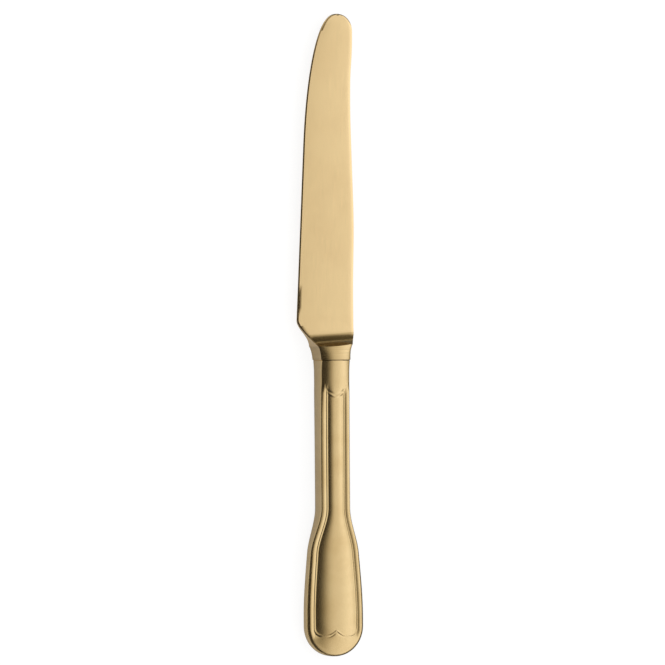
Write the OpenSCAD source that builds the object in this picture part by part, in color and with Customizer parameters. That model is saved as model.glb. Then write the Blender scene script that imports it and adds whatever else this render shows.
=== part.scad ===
// Table knife with a forged blade and a hollow handle, all in millimetres.
// The knife lies on its back: +Z is the front face, the tip points to +Y and
// the cutting edge to -X. The sheet z = 0 is what it rests on.
// Inside the modules, lengths run from the joint between collar and handle:
// blade forms are drawn towards +Y and handle forms towards -Y.

/* [Blade] */
// Joint to the tip of the blade
blade_l = 129.3; // [110:0.1:160]
// Handle axis to the heel of the cutting edge
heel_reach = 13.8; // [11:0.1:16]
// Joint to the corner of the heel
heel_at = 13.3; // [13:0.1:18]
// Rounding of the heel corner
heel_r = 2.4; // [0.5:0.1:4]
// Handle axis to the spine
spine_reach = 8.6; // [7:0.1:10]
// How far the edge draws in from the heel to the tip
edge_draw = 5.6; // [3:0.1:7]
// Handle axis to the highest point of the tip
tip_x = 3.4; // [1:0.1:5]
// Length of the curved end of the edge
sweep_l = 49; // [30:1:70]
// Length of the round between tip and spine
tip_round = 6.6; // [4:0.1:12]
// How far the spine swells before its hollow and after it
spine_hollow = 0.5; // [0:0.1:1.5]
// Thickness at the spine next to the bolster
spine_t = 2.3; // [1.6:0.1:3]
// Thickness at the spine next to the tip
tip_t = 1.3; // [0.8:0.1:2]
// Thickness of the heel next to the cove
heel_t = 2; // [1.4:0.1:2.4]
// Thickness behind the ground bevel
grind_t = 0.9; // [0.5:0.1:1.4]
// Thickness of the dull table edge
edge_t = 0.25; // [0.15:0.05:0.5]
// Width of the ground bevel
bevel_w = 0.8; // [0.4:0.1:1.5]

/* [Bolster] */
// Joint to the start of the cove on the blade
cove_at = 12.2; // [11:0.1:13]
// Radius of the cove between blade and collar
cove_r = 7.3; // [6.5:0.1:9]
// Rise of the cove for each millimetre across, from the grinding
cove_slant = 0.052; // [0:0.002:0.08]
// Height of the collar's flank at its cove end
collar_flank = 10.3; // [9:0.1:11]
// Depth of the fine line at the joint
joint_line = 0.12; // [0.05:0.01:0.2]

/* [Handle] */
// Joint to the butt
handle_l = 110.5; // [95:0.1:130]
// Width at the joint
mouth_w = 11.5; // [10.5:0.1:14]
// Width at the waist of the neck
waist_w = 11.1; // [10:0.1:13]
// Width of the stem
stem_w = 11.3; // [10:0.1:13]
// Width of the widest place
bulb_w = 22.5; // [18:0.1:26]
// Flank height at the joint
mouth_flank = 9.6; // [8.5:0.1:11]
// Flank height of the stem
stem_flank = 7.1; // [6.8:0.1:9]
// Flank height at the widest place
bulb_flank = 3.4; // [3.2:0.1:6]
// Rise of the crowned neck above its flank
neck_crown = 1; // [0.4:0.05:1.2]
// Rise of the crowned panel in the stem
stem_crown = 0.4; // [0.2:0.05:0.8]
// Rise of the crowned panel at the widest place
bulb_crown = 1.2; // [0.6:0.05:1.6]
// Joint to the start of the shoulder
shoulder_at = 55; // [45:0.5:60]
// Length of the steep part of the shoulder
shoulder_l = 17; // [12:0.5:24]
// Joint to the widest place
bulb_at = 99; // [88:0.5:99]

/* [Threads] */
// Joint to the horns of the border
horn_at = 7.5; // [7:0.1:9]
// Dip of the border between its horns
horn_dip = 3.2; // [1:0.1:3.5]
// Joint to the flats at the foot of the panel
foot_at = 103; // [101:0.1:104]
// Height of the point in the middle of the foot
cusp_h = 1.8; // [0.8:0.1:2.4]
// Half width of that point
cusp_w = 3; // [2:0.1:4]
// Rounding of the panel's lower corners
corner_r = 1.6; // [0.8:0.1:2.2]
// Crest width of the outer thread
outer_thread = 1.1; // [0.8:0.05:1.5]
// Width of the inner thread
inner_thread = 0.55; // [0.4:0.05:0.7]
// Width of a groove
groove_w = 0.5; // [0.4:0.05:0.6]
// Depth of the groove between the threads
groove_d = 0.26; // [0.2:0.02:0.45]
// Depth of the groove beside the panel
panel_groove_d = 0.12; // [0.06:0.02:0.2]
// Bevel between flank and outer thread in the stem
stem_bevel = 0.4; // [0.3:0.05:0.6]
// Bevel between flank and outer thread at the widest place
bulb_bevel = 0.9; // [0.6:0.05:1.2]

/* [Inside] */
// Wall of the stamped halves
wall = 0.8; // [0.6:0.05:1]
// Gap that the set cement leaves to the halves
cement_gap = 0.05; // [0.03:0.01:0.2]
// Gap round the spigot in the mouth
spigot_gap = 0.1; // [0.05:0.01:0.2]
// Length of the spigot in the mouth
spigot_l = 1.6; // [1:0.1:2.5]
// Length of the tang below the joint
tang_l = 52; // [30:1:70]
// Width of the tang at its root
tang_w = 6; // [5:0.1:6.5]
// Width of the tang at its end
tang_end_w = 3.6; // [3:0.1:5]
// Thickness of the tang
tang_t = 3; // [2:0.1:3.4]
// Depth of the notches that key the tang
notch_d = 0.7; // [0.4:0.1:0.9]

/* [Hidden] */

// Powers that shape the free curves
heel_power = 1.82;
sweep_power = 2.05;
sweep_root = 2.5;
tip_power = 2.1;
butt_power = 2.05;
crown_power = 2.1;
cusp_power = 1.6;
cove_power = 0.8;
// Parts of the whole rise, from stem to widest place, that the shoulder takes
shoulder_share = 0.53;
flank_share = 0.8;
// Part of the way from shoulder to widest place on which the handle widens
widen_share = 0.92;
// Part of the neck's fall next to the joint, and part of the flank that falls at the butt
mouth_share = 0.5;
butt_share = 0.25;
// Places along the blade: its spine leaves the collar, swells, hollows and swells again
leave_shares = [0.2, 0.7];
swell_shares = [0.39, 0.2];
hollow_shares = [0.74, 0.22];
hump_shares = [0.8, 0.11];
// Parts of the cove's place over which heel and edge thin out, and of the heel at its edge
thin_share = 0.8;
thin_edge_share = 0.5;
heel_edge_share = 0.8;
// Half sizes used everywhere
mouth_x = mouth_w / 2;
bulb_x = bulb_w / 2;
butt_l = handle_l - bulb_at;
stem_at = 2.1 * horn_at;
waist_at = 0.92 * horn_at;
horn_r = 2 * groove_w;
horn_span = norm([stem_w / 2, horn_r]) - horn_r;
neck_lip = groove_d / 2;
stem_lip = groove_d;
bulb_lip = bulb_bevel;
thick_half = collar_flank / 2 + neck_lip + neck_crown;
// Place of the joint in the part's own frame
joint_y = (handle_l - blade_l) / 2;
tip_grind_t = 0.7 * tip_t;

function ease(t) = let (c = min(1, max(0, t))) c * c * (3 - 2 * c);
function soften(t) = let (c = min(1, max(0, t))) c * (2 - c);
function bell(t) = 1 - ease(abs(t));
function mix(a, b, t) = a + (b - a) * t;
function softmin(a, b, k) = let (h = max(0, k - abs(a - b)) / k) min(a, b) - h * h * k / 4;
// Quarter curve from 1 down to 0, round at both ends
function quarter(t, p, q) = pow(max(0, 1 - pow(max(0, t), p)), 1 / q);

// Shape of the handle, as functions of the distance v from the joint
function to_bulb(v) = ease((v - shoulder_at) / (bulb_at - shoulder_at) / widen_share);
function to_shoulder(v) = ease((v - shoulder_at) / shoulder_l);
function rise(v, share) = share * to_shoulder(v) + (1 - share) * to_bulb(v);
function side_x(v) = (mouth_w - (mouth_w - waist_w) * ease(v / waist_at)
    + (stem_w - waist_w) * ease((v - waist_at) / waist_at)
    + (bulb_w - stem_w) * rise(v, shoulder_share)) / 2;
function half_w(v, inset) = v <= bulb_at ? side_x(v) - inset
    : (bulb_x - inset) * quarter((v - bulb_at) / (butt_l - inset), butt_power, butt_power);
function butt_v(x, inset) = bulb_at
    + (butt_l - inset) * quarter(abs(x) / (bulb_x - inset), butt_power, butt_power);
function neck_fall(v) = mix(soften(v / stem_at / 2.5), soften(v / waist_at * 1.5), mouth_share);
function flank_h(v) = (mix(mouth_flank, stem_flank, neck_fall(v))
    - (stem_flank - bulb_flank) * rise(v, flank_share)
    - butt_share * bulb_flank * ease((v - bulb_at) / butt_l)) / 2;
function lip_h(v) = mix(mix(neck_lip, stem_lip, ease(v / stem_at)), bulb_lip, to_bulb(v));
function neck_z(x, a) = neck_crown * (1 - pow(min(1, abs(x) / a), crown_power));
function panel_crown(v) = mix(stem_crown, bulb_crown, rise(v, shoulder_share));

// Loops of the border, from the seam inwards:
// 0 seam, 1 top of the flank, 2 and 3 crest of the outer thread, 4 groove,
// 5 crest of the inner thread, 6 groove, 7 edge of the panel
LOOPS = 7;
function loop_inset(k, v) = let (b = mix(stem_bevel, bulb_bevel, to_bulb(v)))
    k < 2 ? 0 : k == 2 ? b : k == 3 ? b + outer_thread
    : b + outer_thread + groove_w * (k > 5 ? 2 : 1) * 0.8 + inner_thread * (k - 4) / 2 * 0.9;
loop_relief = [0, 0, 0, 0, -groove_d, 0, -panel_groove_d, 0];

// Rows from the joint to the butt: neck, top border, sides, foot
neck_shares = [0, 0.03, 0.25, 0.5, 0.75];
neck_rows = len(neck_shares);
border_step = (outer_thread + inner_thread + groove_w) / 4;
side_from = horn_at + horn_dip + LOOPS * border_step;
side_to = foot_at - 4 * groove_w - cusp_h;
side_stations = concat(
    [for (s = [1:7]) mix(side_from, shoulder_at, s / 8)],
    [for (s = [0:8]) mix(shoulder_at, shoulder_at + shoulder_l, s / 9)],
    [for (s = [0:6]) mix(shoulder_at + shoulder_l, side_to, s / 6)]);
border_rows = LOOPS + 1;
foot_row = neck_rows + border_rows + len(side_stations) - 1;
last_row = foot_row + border_rows;
// Columns across: 8 loops each side, and the panel between them
panel_shares = [0.74, 0.47, 0.23];
mid_col = LOOPS + 1 + len(panel_shares);
last_col = 2 * mid_col;

// Lines of the top border, bent from horn to horn
function horn_v(x, v) = v + horn_dip * max(0, 1 - (norm([x, horn_r]) - horn_r) / horn_span);
// Foot of the panel for loops 3 to 7: flats with a point in the middle
function foot_off(k) = foot_at + (k == 3 ? 3.4 : 6 - k) * groove_w;
function foot_round(k) = corner_r + (foot_off(k) - foot_at) / 2;
function foot_x(k) = bulb_x - loop_inset(k, bulb_at);
cut_share = 1 - cos(45);
function foot_v(k, x) = let (r = foot_round(k), past = abs(x) - (foot_x(k) - r),
        cusp = cusp_h * pow(max(0, 1 - abs(x) / cusp_w), cusp_power))
    foot_off(k) - cusp - (past > 0 ? r - sqrt(max(0, r * r - past * past)) : 0);
corner_share = 0.8;
function corner_x(k) = k < 3 ? corner_share * (bulb_x - loop_inset(k, bulb_at))
    : foot_x(k) - cut_share * foot_round(k);
function corner_v(k) = k < 3 ? butt_v(corner_x(k), loop_inset(k, bulb_at))
    : foot_off(k) - cut_share * foot_round(k);

// Half distance across of a column where the sides run, at v
function col_x(c, v) = c <= 2 ? half_w(v, loop_inset(c, v))
    : c <= LOOPS ? let (r = foot_round(c), past = v - (foot_off(c) - r))
        side_x(min(v, bulb_at)) - loop_inset(c, v)
        - (past > 0 ? r - sqrt(max(0, r * r - past * past)) : 0)
    : c == mid_col ? 0 : panel_shares[c - LOOPS - 1] * (side_x(min(v, bulb_at)) - loop_inset(LOOPS, v));

// Place across and along of one grid point of the left half, column c and row r
function grid_place(c, r) = let (up = last_row - r)
    up >= c || r <= foot_row ? let (v = side_v(c, r)) [col_x(c, v), v]
    : let (t = up >= mid_col ? 1 : (c - up) / (mid_col - up), x = foot_place(c, up))
        [x, up < 3 ? butt_v(x, loop_inset(up, bulb_at)) : foot_v(up, x)];
function foot_place(c, k) = c > LOOPS ? (c == mid_col ? 0 : panel_shares[c - LOOPS - 1] * corner_x(k))
    : corner_x(k) * mix(1, panel_shares[0], (c - k) / (LOOPS + 1 - k));
function side_v(c, r) = let (b = r - neck_rows)
    r < neck_rows ? neck_shares[r] * horn_v(col_x(min(c, mid_col), horn_at), horn_at)
    : b < border_rows ? horn_v(col_x(c, horn_at), horn_at + b * border_step)
    : r <= foot_row ? side_stations[b - border_rows]
    : mix(side_to, corner_v(c), (r - foot_row) / (border_rows - c));

// Height of a grid point above the seam; the inner skin is smooth and lies the wall below
function grid_z(c, r, inner) = let (p = grid_place(c, r), x = p[0], v = p[1], up = last_row - r,
        b = r - neck_rows, line = r == 0 && !inner ? joint_line : 0, k = min(c, up))
    k == 0 ? 0 : k == 1 ? flank_h(v) - (inner ? wall : line)
    : flank_h(v) + lip_h(v) + mix(neck_z(x, side_x(v)), body_z(x, v), b < 0 ? 0 : ease(b / LOOPS))
        - line + (inner ? -groove_d - wall : b < 0 ? 0 : relief(k, b));
// The outer thread ends between the horns; only the inner one turns and runs across
function relief(k, b) = b < 4 ? (k < 4 ? 0 : -groove_d * ease(b / 4)) : loop_relief[min(k, b, LOOPS)];
function body_z(x, v) = let (edge = side_x(min(v, bulb_at)) - loop_inset(LOOPS, v),
        left = (butt_v(x, bulb_bevel) - v) / (bulb_x - bulb_bevel))
    panel_crown(v) * (1 - pow(min(1, x / edge), 2)) * (1 - pow(1 - min(1, max(0, left)), 2));

// Shares that draw the inner skin in by the wall, across and along
function in_across(v) = 1 - wall / side_x(min(v, bulb_at));
function in_along(v) = v < bulb_at ? v : bulb_at + (v - bulb_at) * (1 - wall / butt_l);
// One point of the whole grid; columns past the middle mirror those before it
function grid_point(c, r, inner) = let (m = c <= mid_col ? c : last_col - c, p = grid_place(m, r),
        side = c <= mid_col ? -1 : 1, line = r == 0 && m < 2 ? joint_line : 0)
    inner ? [side * p[0] * in_across(p[1]), -in_along(p[1]), grid_z(m, r, true)]
    : [side * (p[0] - line), -p[1], grid_z(m, r, false)];

// Triangles of one skin; their diagonals follow the mitres of the border
function skin_faces(first, inner) = [for (r = [0:last_row - 1], c = [0:last_col - 1], h = [0, 1])
    let (a = first + r * (last_col + 1) + c, b = a + 1, d = a + last_col + 1, e = d + 1,
        t = (c < mid_col) == (r < foot_row) ? (h == 0 ? [a, b, e] : [a, e, d])
            : (h == 0 ? [a, b, d] : [b, e, d]))
    inner ? [t[2], t[1], t[0]] : t];

// Stamped half of the handle: outer skin, inner skin and the rim along seam and mouth
module handle_half() {
    count = last_col + 1;
    skin = (last_row + 1) * count;
    points = [for (inner = [false, true], r = [0:last_row], c = [0:last_col]) grid_point(c, r, inner)];
    rim = concat([for (r = [0:last_row]) r * count],
        [for (c = [1:last_col]) last_row * count + c],
        [for (r = [1:last_row]) (last_row - r) * count + last_col],
        [for (c = [1:last_col - 1]) last_col - c]);
    edges = [for (i = [0:len(rim) - 1], h = [0, 1]) let (a = rim[i], b = rim[(i + 1) % len(rim)])
        h == 0 ? [a, b, b + skin] : [a, b + skin, a + skin]];
    polyhedron(points, concat(skin_faces(0, false), skin_faces(skin, true), edges));
}

// Solid through rings of equal count; a ring is an upper half from right to left and its
// mirror image back, and the flat ends are strips between the two
module loft(rings) {
    n = len(rings[0]);
    m = len(rings);
    half = n / 2;
    points = [for (ring = rings, p = ring) p];
    sides = [for (r = [0:m - 2], i = [0:n - 1], h = [0, 1])
        let (a = r * n + i, b = r * n + (i + 1) % n)
        h == 0 ? [a, b, b + n] : [a, b + n, a + n]];
    ends = [for (far = [0, 1], k = [0:half - 2], h = [0, 1])
        let (f = far * (m - 1) * n, a = f + half - 1 - k, b = a - 1, c = f + half + k, d = c + 1,
            t = h == 0 ? [a, c, d] : [a, d, b])
        far == 1 ? t : [t[2], t[1], t[0]]];
    polyhedron(points, concat(sides, ends));
}
// Ring of a section that is mirrored about the seam, from the points of its upper half
function whole_ring(upper) = concat([for (i = [len(upper) - 1:-1:0]) upper[i]],
    [for (p = upper) [p[0], p[1], -p[2]]]);
// Upper half of a plain bar's section at y, with the points spread by the given shares
function bar_half(shares, x, z, y) = [for (s = shares) [s[0] * x, y, s[1] * z]];

// Cement: it starts below the spigot, follows the inner skin and leaves room for the tang
fill_shares = [for (s = [-7:7]) s / 7];
fill_end = handle_l - wall - cement_gap;
fill_places = concat([for (a = [85:-15:10]) mix(side_to, fill_end, sin(a))],
    [for (s = [len(side_stations) - 1:-1:0]) side_stations[s]],
    [stem_at, horn_at, waist_at, spigot_l + cement_gap]);
// The rise to the crown starts softly, so that it stays below the bevel of the skin
function fill_ramp(left) = min(1, max(0, left) / (2 * bulb_bevel));
function fill_point(x, v, ramp) = let (out = x / in_across(v))
    [x, -v, flank_h(v) - wall - cement_gap + ramp * (lip_h(v) - groove_d
        + mix(neck_z(out, side_x(v)), body_z(out, v), ease((v - horn_at) / (LOOPS * border_step))))];
function fill_half(v) = let (w = half_w(v, wall + cement_gap))
    [for (s = fill_shares) let (ramp = min(fill_ramp(w - abs(s) * w), fill_ramp((fill_end - v) / 2)))
        fill_point(s * w, v, ramp)];
module cement() {
    hole = [for (t = [0:0.2:1]) let (v = mix(spigot_l + cement_gap, tang_l + cement_gap, t))
        whole_ring([for (s = fill_shares) [s * (tang_half(v) + cement_gap), -v, tang_t / 2 + cement_gap]])];
    loft(concat([for (v = fill_places) whole_ring(fill_half(v))], hole));
}

// Shape of the blade, as functions of the distance y from the joint
function edge_line(y) = heel_reach - edge_draw * (y - heel_at) / (blade_l - heel_at)
    - (edge_line_end() + tip_x) * (1 - quarter((y - blade_l + sweep_l) / sweep_l, sweep_power, sweep_root));
function edge_line_end() = heel_reach - edge_draw;
function heel_line(y) = mouth_x + (heel_reach - mouth_x) * pow(max(0, y) / heel_at, heel_power);
function edge_x(y) = -softmin(heel_line(y), edge_line(y), heel_r);
function along(y, whole, shares) = (y / whole - shares[0]) / shares[1];
function spine_line(y) = mix(mouth_x, spine_reach, ease(along(y, cove_at, leave_shares)))
    + spine_hollow * (bell(along(y, blade_l, swell_shares)) - bell(along(y, blade_l, hollow_shares))
    + ease(along(y, blade_l, hump_shares)));
function spine_x(y) = let (past = (y - blade_l + tip_round) / tip_round)
    mix(tip_x, spine_line(y), quarter(past, tip_power, tip_power));
function spine_h(y) = mix(spine_t, tip_t, max(0, y - cove_at) / (blade_l - cove_at)) / 2;
function thin_out(y, share) = ease(along(y, cove_at, [thin_share, share]));
function grind_h(y) = mix(heel_t, mix(grind_t, tip_grind_t, max(0, y - cove_at) / (blade_l - cove_at)),
    thin_out(y, thin_share)) / 2;
function edge_h(y) = mix(heel_t * heel_edge_share, edge_t, thin_out(y, thin_edge_share)) / 2;
// Flat face of the blade: a wedge from the grind line to the spine
function face_z(x, y) = let (e = edge_x(y), s = spine_x(y))
    mix(grind_h(y), spine_h(y), min(1, max(0, (x - e) / (s - e))));
// Collar: the neck's section, a little taller towards the cove
function collar_h(y) = mix(mouth_flank, collar_flank, min(1, y / (cove_at - cove_r))) / 2;
function collar_z(x, y) = let (e = edge_x(y), s = spine_x(y), m = (e + s) / 2)
    collar_h(y) + neck_lip + neck_z(x - m, (s - e) / 2);
// Cove between the two, and the line where it breaks into the collar
function cove_start(x) = cove_at + cove_slant * x;
function cove_rise(x, y) = let (d = min(cove_r, max(0, cove_start(x) - y)))
    cove_r - sqrt(cove_r * cove_r - d * d);
function cove_edge(x) = let (h = min(cove_r, collar_z(x, cove_at - cove_r) - face_z(x, cove_at)))
    cove_start(x) - sqrt(cove_r * cove_r - (cove_r - h) * (cove_r - h));

// Rows: collar, cove, blade; the columns are shares from edge to spine
collar_rows = 3;
cove_rows = 8;
blade_ys = concat([for (s = [1:8]) mix(cove_at, heel_at + heel_r, s / 8)],
    [for (s = [1:6]) mix(heel_at + heel_r, blade_l - sweep_l, s / 6)],
    [for (a = [6:6:60]) blade_l - sweep_l + sweep_l * sin(a)],
    [for (a = [65:3:86]) blade_l - sweep_l + sweep_l * sin(a)], [blade_l - edge_t / 10]);
face_shares = [0.25, 0.5, 0.75];
spine_angles = [90, 60, 30];
blade_rows = collar_rows + cove_rows + len(blade_ys);
// Most of a narrow section at the tip that spine and bevel may take
spine_part = 0.3;
bevel_part = 0.2;
// Place along of row r at the place x across
function row_y(x, r) = let (c = r - collar_rows, b = c - cove_rows)
    r == 0 ? 0 : r == 1 ? joint_line
    : r < collar_rows ? mix(joint_line, cove_edge(x), (r - 1) / (collar_rows - 1))
    : c < cove_rows ? let (from = cove_edge(x), span = cove_start(x) - from)
        cove_start(x) - span * pow(1 - c / cove_rows, cove_power)
    : blade_ys[max(0, b)];
function row_edge(r) = edge_x(row_y(edge_x(row_y(0, r)), r));
function row_spine(r) = spine_x(row_y(spine_x(row_y(0, r)), r));
// One section of the upper half: points from the edge over the face to the spine
function blade_section(r) = let (e = row_edge(r), s = row_spine(r), w = s - e,
        sh = min(spine_h(row_y(s, r)), w * spine_part), bev = min(bevel_w, w * bevel_part))
    concat([section_point(e, r, 0)], [section_point(e + bev, r, 1)],
        [for (f = face_shares) section_point(mix(e + bev, s - sh, f), r, 1)],
        [for (a = spine_angles) spine_point(s, sh, a, r)]);
function section_point(x, r, up) = let (y = row_y(x, r), in_collar = r <= collar_rows,
        line = r == 0 ? joint_line : 0, c = r - collar_rows,
        z = in_collar ? (up == 1 ? collar_z(x, y) : collar_h(y)) : face_z(x, y) + cove_rise(x, y))
    [x + (up == 0 ? line : 0), y, (in_collar || up == 1 ? z
        : max(edge_h(y), z - mix(neck_lip, grind_h(y) - edge_h(y), min(1, c / cove_rows)))) - line];
function spine_point(s, sh, a, r) = let (x = s - sh * (1 - cos(a)), y = row_y(x, r),
        in_collar = r <= collar_rows, line = r == 0 ? joint_line : 0)
    in_collar ? (a == 90 ? [x - line, y, collar_z(x, y) - line]
        : [s - line, y, collar_h(y) * (a == 60 ? 1 : 0.5) - line])
    : [x, y, sh * sin(a) + cove_rise(x, y) * (a == 30 ? 0.5 : 1)];

// Spigot and tang below the collar, with half round notches that key into the cement
bar_shares = [[-1, 1], [-0.7, 1], [-0.4, 1], [0, 1], [0.4, 1], [0.7, 1], [0.95, 1], [1, 0.9]];
function tang_half(v) = mix(tang_w, tang_end_w, v / tang_l) / 2;
function tang_ring(v, notch) = whole_ring(bar_half(bar_shares, tang_half(v) - notch, tang_t / 2, -v));
function spigot_ring(v) = let (x = half_w(0, wall + spigot_gap), z = flank_h(0) - wall - spigot_gap)
    whole_ring(bar_half(bar_shares, x, z, -v));
notches = [for (n = [3:-1:1], a = [150:-30:30]) [tang_l * n / 4 - notch_d * cos(a), notch_d * sin(a)]];

module blade_forging() {
    loft(concat([tang_ring(tang_l, 0)], [for (n = notches) tang_ring(n[0], n[1])],
        [tang_ring(spigot_l, 0), spigot_ring(spigot_l), spigot_ring(0)],
        [for (r = [0:blade_rows - 1]) whole_ring(blade_section(r))]));
}

axis_x = (max([for (y = blade_ys) -edge_x(y)]) - bulb_x) / 2;
module place() translate([axis_x, joint_y, thick_half]) children();

module blade() color("goldenrod") place() blade_forging();
module handle_front() color("gold") place() handle_half();
module handle_back() color("khaki") place() mirror([0, 0, 1]) handle_half();
module filler() color("dimgray") place() cement();

blade();
handle_front();
handle_back();
filler();
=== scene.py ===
# %% [markdown]
# # A gilt table knife with a hollow handle
# The knife is made of a forged blade, with its collar and tang, and of two stamped
# half shells that are soldered along their seam and filled with cement. The shapes
# are free forms with fine threads, so this lesson lays a grid over each of them and
# draws it out row by row, and operators and modifiers then close, mirror and thicken
# it. It counts in millimetres, and one helper turns them into metres of the frame.

import math

import bpy
import numpy as np
from mathutils import Matrix, Vector


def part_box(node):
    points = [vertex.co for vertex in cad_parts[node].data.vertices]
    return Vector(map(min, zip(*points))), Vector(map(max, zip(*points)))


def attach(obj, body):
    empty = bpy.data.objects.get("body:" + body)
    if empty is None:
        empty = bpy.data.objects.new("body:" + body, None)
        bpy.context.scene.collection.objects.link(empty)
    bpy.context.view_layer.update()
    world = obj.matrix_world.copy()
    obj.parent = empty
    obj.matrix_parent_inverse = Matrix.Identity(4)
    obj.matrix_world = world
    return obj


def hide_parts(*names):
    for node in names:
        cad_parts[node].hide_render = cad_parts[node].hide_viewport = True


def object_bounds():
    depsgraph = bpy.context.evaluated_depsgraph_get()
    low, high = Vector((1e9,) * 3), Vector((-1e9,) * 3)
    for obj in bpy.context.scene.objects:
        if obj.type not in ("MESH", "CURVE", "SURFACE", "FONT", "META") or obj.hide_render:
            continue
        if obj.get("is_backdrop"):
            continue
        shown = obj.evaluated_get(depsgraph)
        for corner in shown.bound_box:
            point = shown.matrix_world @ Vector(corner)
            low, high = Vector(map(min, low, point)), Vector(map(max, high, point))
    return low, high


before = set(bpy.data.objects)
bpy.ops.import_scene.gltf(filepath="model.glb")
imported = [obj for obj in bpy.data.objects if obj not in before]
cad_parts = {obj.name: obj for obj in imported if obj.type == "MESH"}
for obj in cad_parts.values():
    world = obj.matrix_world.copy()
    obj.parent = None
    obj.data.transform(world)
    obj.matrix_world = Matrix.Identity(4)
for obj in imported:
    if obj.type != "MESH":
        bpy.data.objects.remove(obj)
cad_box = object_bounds()
shell_low, shell_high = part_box("handle_front")
print("nodes:", sorted(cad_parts))

# %% [markdown]
# Everything hangs on three places that the frame gives: the axis of the handle, the
# joint between collar and handle, and the seam between the two half shells. Inside
# this file x runs across, y along the knife from the joint to the tip, and z up from
# the seam. Along the handle the distance from the joint is called v.

# %% Places that the frame gives
MM = 0.001
axis_x = (shell_low.x + shell_high.x) / 2
joint_y = shell_high.y
seam_z = shell_low.z


def place(x, y, z):
    """Points in millimetres from axis, joint and seam, as points of the frame in metres."""
    return np.stack([axis_x + x * MM, joint_y + y * MM, seam_z + z * MM], axis=-1)


print("joint at %.1f mm, seam at %.2f mm" % (joint_y / MM, seam_z / MM))

# %% [markdown]
# A few small curves are used again and again: a soft step, a mix of two values, soft
# swells, a slowing rise, the smaller of two lines with a rounded meeting, and a
# quarter curve that leaves and arrives square. A plain quarter circle would make the
# butt and the tip look turned, and on the real knife they look drawn.

# %% Small curves
def ease(t):
    t = np.clip(t, 0, 1)
    return t * t * (3 - 2 * t)


def mix(a, b, t):
    return a + (b - a) * t


def swells(y, marks):
    """Sum of soft swells, each given by its place, its reach and its height."""
    return sum(height * (1 - ease(np.abs((y - at) / reach))) for at, reach, height in marks)


def soften(t):
    t = np.clip(t, 0, 1)
    return t * (2 - t)


def rounded_min(a, b, reach):
    near = np.maximum(0, reach - np.abs(a - b)) / reach
    return np.minimum(a, b) - near * near * reach / 4


def quarter(t, leaves, arrives):
    return np.maximum(0, 1 - np.clip(t, 0, None) ** leaves) ** (1 / arrives)


print("the soft step passes %.3f at a quarter" % ease(0.25))

# %% [markdown]
# ## The blade
# Blade, cove and collar are one forging. They could be cut from a slab with bevels,
# but here wedge, cove and crown flow into each other, so one grid is drawn over all
# of them. The outline is two lines over the distance y from the joint. The cutting
# edge draws in slowly and then sweeps round to the tip, and the heel flares out from
# the collar. The spine is almost straight, a little hollow behind the tip.

# %% Outline of the blade
BLADE_L, HEEL_REACH, HEEL_AT, HEEL_R = 129.27, 13.78, 13.3, 2.2
SPINE_REACH, EDGE_DRAW, TIP_X, SWEEP_L = 8.45, 5.6, 3.2, 49.0
TIP_ROUND, MOUTH_X, FLARE_AT, FLARE_L = 6.6, 5.75, 2.44, 8.54
COVE_AT, COVE_R, COVE_SLANT = 12.2, 7.3, 0.052
HEEL_POWER, SWEEP_LEAVES, SWEEP_ARRIVES, TIP_POWER = 1.82, 2.05, 2.55, 2.1
HEEL_SWELLS = ((9.8, 5.0, 0.22), (4.3, 2.4, -0.2))
COLLAR_SWELLS = ((5.2, 2.4, -0.15),)
# Along the spine, places and reaches are shares of the blade's length.
SPINE_SWELLS = ((0.39, 0.2, 0.5), (0.74, 0.22, -0.5))
BACK_AT, BACK_SHARE, BACK_RISE = 0.8, 0.11, 0.5


def edge_x(y):
    drawn = HEEL_REACH - EDGE_DRAW * (y - HEEL_AT) / (BLADE_L - HEEL_AT)
    sweep = 1 - quarter((y - BLADE_L + SWEEP_L) / SWEEP_L, SWEEP_LEAVES, SWEEP_ARRIVES)
    line = drawn - (HEEL_REACH - EDGE_DRAW + TIP_X) * sweep
    heel = MOUTH_X + (HEEL_REACH - MOUTH_X) * (np.maximum(0, y) / HEEL_AT) ** HEEL_POWER
    return -rounded_min(heel + swells(y, HEEL_SWELLS), line, HEEL_R)


def spine_x(y):
    part = y / BLADE_L
    line = mix(MOUTH_X, SPINE_REACH, ease((y - FLARE_AT) / FLARE_L))
    line = line + swells(part, SPINE_SWELLS) + swells(y, COLLAR_SWELLS)
    line = line + BACK_RISE * ease((part - BACK_AT) / BACK_SHARE)
    round_off = quarter((y - BLADE_L + TIP_ROUND) / TIP_ROUND, TIP_POWER, TIP_POWER)
    return mix(TIP_X, line, round_off)


print("widest %.1f mm at the heel" % (spine_x(HEEL_AT) - edge_x(HEEL_AT)))

# %% [markdown]
# Across, the blade is a slim wedge: thick at the spine, thin at the ground bevel. A
# shallow facet runs beside the spine, and the face between the two is hardly swelled.
# Near the collar all of it is thicker, as the smith left it.

# %% Thicknesses of the blade
SPINE_T, TIP_T, TIP_GRIND_T, GRIND_T, EDGE_T = 2.3, 1.3, 0.91, 0.9, 0.25
HEEL_T, HEEL_EDGE_T = 2.0, 1.6
THIN_AT, GRIND_THIN_L, EDGE_THIN_L = 9.76, 9.76, 6.1
HEEL_BEVEL, BEVEL_W, BEVEL_FADE = 0.58, 0.45, 9.0
FACET_W, FACET_DROP, FACET_POWER, FACE_SWELL = 1.1, 0.2, 1.4, 0.14


def towards_tip(y):
    return np.clip((y - COVE_AT) / (BLADE_L - COVE_AT), 0, 1)


def spine_half(y):
    return mix(SPINE_T, TIP_T, towards_tip(y)) / 2


def grind_half(y):
    thin = mix(GRIND_T, TIP_GRIND_T, towards_tip(y))
    return mix(HEEL_T, thin, ease((y - THIN_AT) / GRIND_THIN_L)) / 2


def edge_half(y):
    return mix(HEEL_EDGE_T, EDGE_T, ease((y - THIN_AT) / EDGE_THIN_L)) / 2


def bevel_w(y):
    return mix(HEEL_BEVEL, BEVEL_W, ease((y - HEEL_AT) / BEVEL_FADE))


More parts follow.
